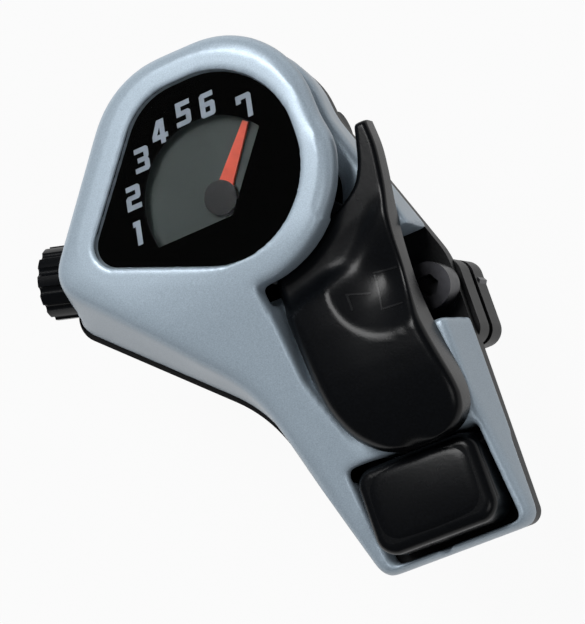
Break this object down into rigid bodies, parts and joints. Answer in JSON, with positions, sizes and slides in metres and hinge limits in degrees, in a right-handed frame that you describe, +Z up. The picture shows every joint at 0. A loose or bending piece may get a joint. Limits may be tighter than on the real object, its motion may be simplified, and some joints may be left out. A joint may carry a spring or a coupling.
{
  "type": "bicycle trigger shifter",
  "caption": "Thumb-operated bicycle gear shifter with a teardrop silver shell, dished black push lever, square release button and windowed gear dial, on a handlebar clamp.",
  "frame": {"origin": "centre of the handlebar clamp's bore, at the middle of the clamp's width", "axes": "+X along the handlebar towards the grip, +Y ahead of the rider, +Z up along the lever's axle and out of the dial"},
  "size_m": [0.0624, 0.0825, 0.0472],
  "materials": {
    "silver_shell": "satin",
    "black_body": "satin",
    "steel": "satin",
    "dark_steel": "satin",
    "white_plastic": "satin",
    "dial_print": "matt",
    "dial_black": "gloss",
    "lens": "clear",
    "needle_orange": "gloss",
    "black_grip": "textured"
  },
  "bodies": {
    "housing": {"top_cover": "silver_shell", "base_housing": "black_body", "clamp_strap": "black_body", "clamp_hinge_pin": "steel", "clamp_bolt": "dark_steel", "clamp_nut": "steel", "cover_screws": "dark_steel", "main_axle": "steel", "spool_washer": "steel", "lever_washer": "steel", "hold_pawl_pin": "steel", "dial_plate": "dial_print", "dial_mask": "dial_black", "dial_lens": "lens", "button_pivot_pin": "steel", "button_return_spring": "steel", "cable_port_plug": "black_body"},
    "spool": {"cable_spool": "white_plastic", "indicator_needle": "needle_orange", "needle_cap": "dial_black"},
    "lever": {"thumb_lever": "black_grip", "lever_plate": "steel", "lever_screws": "dark_steel", "drive_pawl_pin": "steel", "lever_return_spring": "steel"},
    "drive_pawl": {"drive_pawl": "steel"},
    "hold_pawl": {"hold_pawl": "steel"},
    "button": {"release_button": "black_grip"},
    "barrel": {"barrel_adjuster": "black_grip"}
  },
  "joints": [
    {"name": "lever_swing", "type": "hinge", "parent": "housing", "child": "lever", "pos_m": [-0.006, 0.006, 0.0262], "axis": [0, 0, 1], "range_deg": [0, 44], "stiffness_Nm_per_rad": 0.15, "springref_deg": -11.46},
    {"name": "gear_turn", "type": "hinge", "parent": "housing", "child": "spool", "pos_m": [-0.006, 0.006, 0.0185], "axis": [0, 0, 1], "range_deg": [0, 128]},
    {"name": "button_press", "type": "hinge", "parent": "housing", "child": "button", "pos_m": [0, -0.0394, 0.0181], "axis": [1, 0, 0], "range_deg": [0, 9], "stiffness_Nm_per_rad": 0.4, "springref_deg": -5.73, "deforming": ["button_return_spring"]},
    {"name": "hold_pawl_lift", "type": "hinge", "parent": "housing", "child": "hold_pawl", "pos_m": [-0.01664, -0.00231, 0.0212], "axis": [0, 0, 1], "range_deg": [-7.02, 0]},
    {"name": "drive_pawl_tilt", "type": "hinge", "parent": "lever", "child": "drive_pawl", "pos_m": [-0.00366, -0.0073, 0.0212], "axis": [0, 0, 1], "range_deg": [-6, 0], "stiffness_Nm_per_rad": 0.003, "springref_deg": 11.46},
    {"name": "barrel_turn", "type": "hinge", "parent": "housing", "child": "barrel", "pos_m": [-0.03436, 0.00526, 0.0185], "axis": [-0.9659, 0.2588, 0], "continuous": true}
  ],
  "couplings": [
    {"joint": "hold_pawl_lift", "follows": "button_press", "ratio": -0.6}
  ]
}
